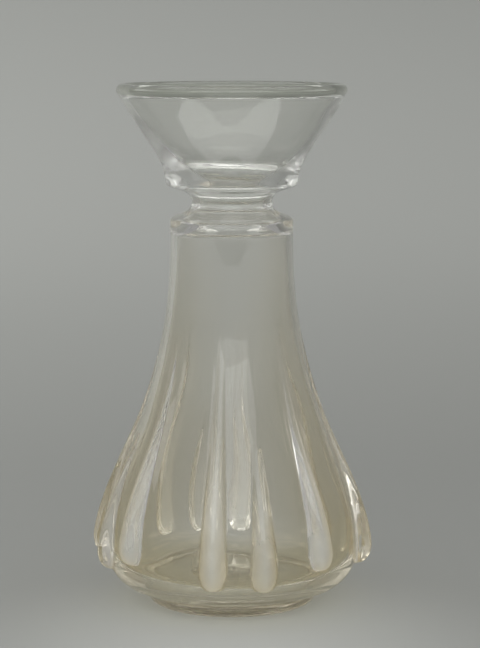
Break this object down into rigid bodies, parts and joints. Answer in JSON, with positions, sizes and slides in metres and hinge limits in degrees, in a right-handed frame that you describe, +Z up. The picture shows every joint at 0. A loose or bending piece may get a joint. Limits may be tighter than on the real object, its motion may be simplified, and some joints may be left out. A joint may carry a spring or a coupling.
{
  "type": "vase",
  "caption": "Hand-blown glass flower vase: bell-shaped body with trailed, drop-ended ribs on a pad foot, tall neck pinched to a waist, flared mouth with a beaded lip.",
  "frame": {"origin": "centre of the foot, on the plane that the vase stands on", "axes": "+Z up along the vase's axis, -Y towards the side that the picture shows"},
  "size_m": [0.1098, 0.1098, 0.2],
  "materials": {
    "foot_glass": "smooth fire-polished, amber-olive where thick",
    "body_glass": "smooth blown, pale straw tint",
    "mouth_glass": "smooth blown, almost colourless",
    "lip_glass": "fire-polished round bead",
    "rib_glass": "smooth trailed, pale straw tint"
  },
  "bodies": {
    "root": {"foot": "foot_glass", "body": "body_glass", "mouth": "mouth_glass", "lip_bead": "lip_glass", "rib_01_long": "rib_glass", "rib_02_short": "rib_glass", "rib_03_long": "rib_glass", "rib_04_long": "rib_glass", "rib_05_short": "rib_glass", "rib_06_long": "rib_glass", "rib_07_long": "rib_glass", "rib_08_short": "rib_glass", "rib_09_long": "rib_glass", "rib_10_long": "rib_glass", "rib_11_short": "rib_glass", "rib_12_long": "rib_glass"}
  },
  "joints": []
}
